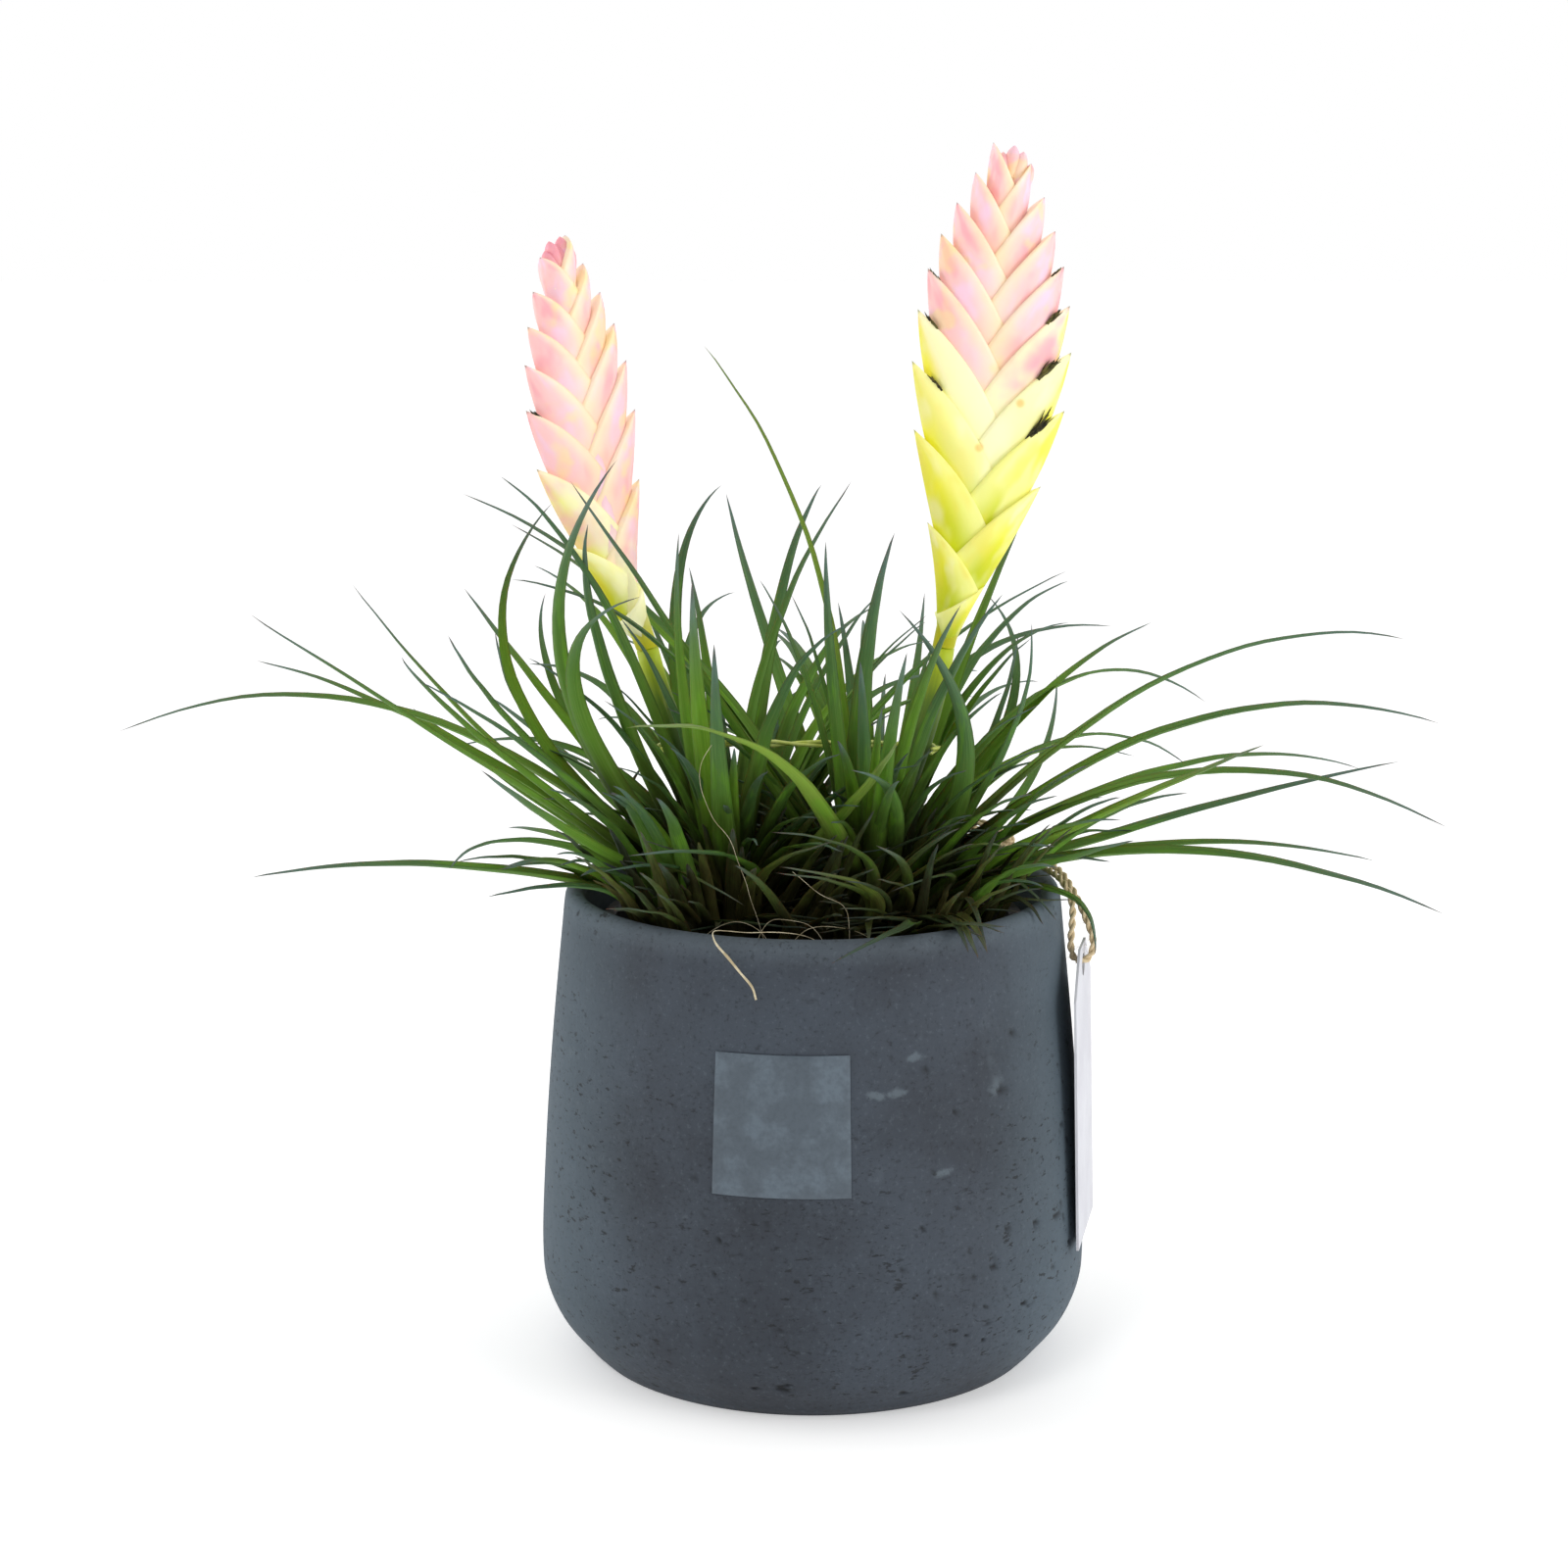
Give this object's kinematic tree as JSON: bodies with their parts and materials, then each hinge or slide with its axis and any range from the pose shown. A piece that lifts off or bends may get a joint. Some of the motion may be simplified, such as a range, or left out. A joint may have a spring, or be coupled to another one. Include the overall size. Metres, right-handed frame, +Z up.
{
  "type": "potted pink quill",
  "caption": "Pink quill bromeliad plants with grass-like leaves and flat flower spikes, in a round stone-coloured pot with a bare label and a bare hang tag on twine.",
  "frame": {"origin": "centre of the pot's flat base, on the surface it stands on", "axes": "+Z up along the pot's axis, -Y towards the side with the label, +X to the right as seen from that side"},
  "size_m": [0.3103, 0.23, 0.2835],
  "materials": {
    "pot_stone": "matte fibre cement with a fine mottle and small pits",
    "label_film": "thin bare translucent film",
    "grow_pot_plastic": "thin black nursery plastic",
    "potting_bark": "dark crumbly bark and coir",
    "leaf": "living leaf, satin, dark green with grey-green tips",
    "bract": "waxy bracts, pink above and yellow-green below",
    "spent_flower": "withered dark flower remains",
    "tie_wire": "soft green coated wire",
    "jute_twine": "two-ply jute, hairy and matte",
    "tag_card": "bare pale card, matte",
    "dry_root": "dry pale root, matte"
  },
  "bodies": {
    "root": {"pot": "pot_stone", "label": "label_film", "grow_pot": "grow_pot_plastic", "potting_bark": "potting_bark", "flower_spike_left": "bract", "flower_spike_right": "bract", "plant_tie": "tie_wire", "twine": "jute_twine", "twine_knot": "jute_twine", "hang_tag": "tag_card", "dry_root": "dry_root", "plant_left": "leaf", "plant_right": "leaf"}
  },
  "joints": []
}
